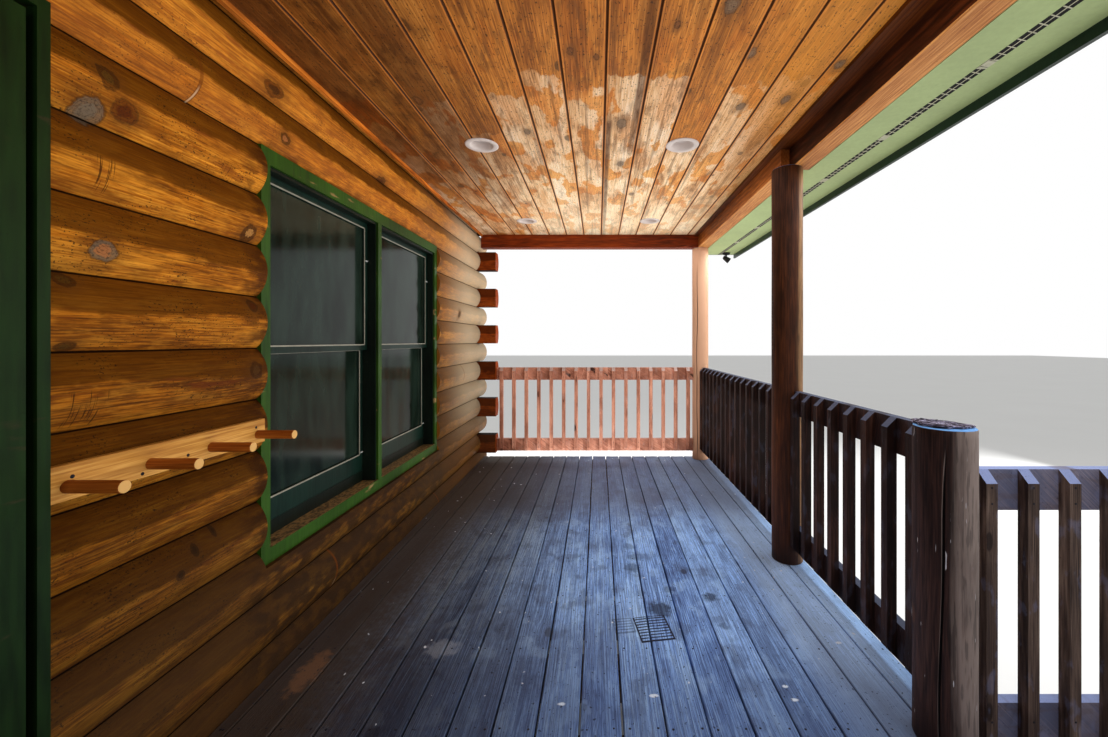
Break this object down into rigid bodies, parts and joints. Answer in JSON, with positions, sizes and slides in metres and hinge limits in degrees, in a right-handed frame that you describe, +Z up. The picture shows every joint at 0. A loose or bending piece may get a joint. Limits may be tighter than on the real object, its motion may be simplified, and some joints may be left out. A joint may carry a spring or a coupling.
{
  "type": "log cabin porch",
  "caption": "Covered porch along a log cabin's front wall, with round posts, railings, a board ceiling, a double window, a peg rack and entry steps.",
  "frame": {"origin": "on the ground, under the middle of the whole outline", "axes": "+Z up, +Y along the porch and the log wall, +X from the wall out over the railing"},
  "size_m": [4.886, 6.24, 4.3639],
  "materials": {
    "logs": "stained",
    "concrete": "rough concrete",
    "green_paint": "painted",
    "window_dark": "satin",
    "glass": "clear",
    "knob_metal": "dull",
    "pale_pine": "bare",
    "framing": "weathered",
    "deck_boards": "weathered",
    "post_wood": "stained",
    "beam_wood": "stained",
    "ceiling_boards": "stained",
    "lamp_white": "satin",
    "soffit_sage": "matte",
    "vent_bars": "matte",
    "edge_green": "satin",
    "shingles": "gritty",
    "rail_wood": "weathered stain",
    "bark": "rough",
    "lamp_black": "satin"
  },
  "bodies": {
    "root": {"bark_slab": "bark", "ceiling": "ceiling_boards", "ceiling_joists": "framing", "ceiling_trim": "beam_wood", "cross_beams": "beam_wood", "deck": "deck_boards", "deck_beams": "framing", "deck_joists": "framing", "door_casing": "green_paint", "door_knob": "knob_metal", "door_leaf": "green_paint", "end_rails": "rail_wood", "fascia": "edge_green", "flood_light": "lamp_black", "foundation": "concrete", "gable_logs_butting": "logs", "gable_logs_passing": "logs", "gable_panels": "logs", "landing": "deck_boards", "landing_frame": "framing", "landing_rails": "rail_wood", "long_beam_far": "beam_wood", "long_beam_near": "beam_wood", "long_rail_far": "rail_wood", "long_rail_near": "rail_wood", "peg_rack_board": "pale_pine", "pegs": "pale_pine", "piers": "concrete", "rafters": "framing", "rake_boards": "edge_green", "recessed_lights": "lamp_white", "roof_covering": "shingles", "roof_deck": "framing", "short_newels": "post_wood", "soffit": "soffit_sage", "soffit_vent": "vent_bars", "stringers": "framing", "tall_posts": "post_wood", "treads": "deck_boards", "wall_logs_butting": "logs", "wall_logs_passing": "logs", "window_casing": "green_paint", "window_frames": "window_dark", "window_glass": "glass", "window_sashes": "window_dark"}
  },
  "joints": []
}
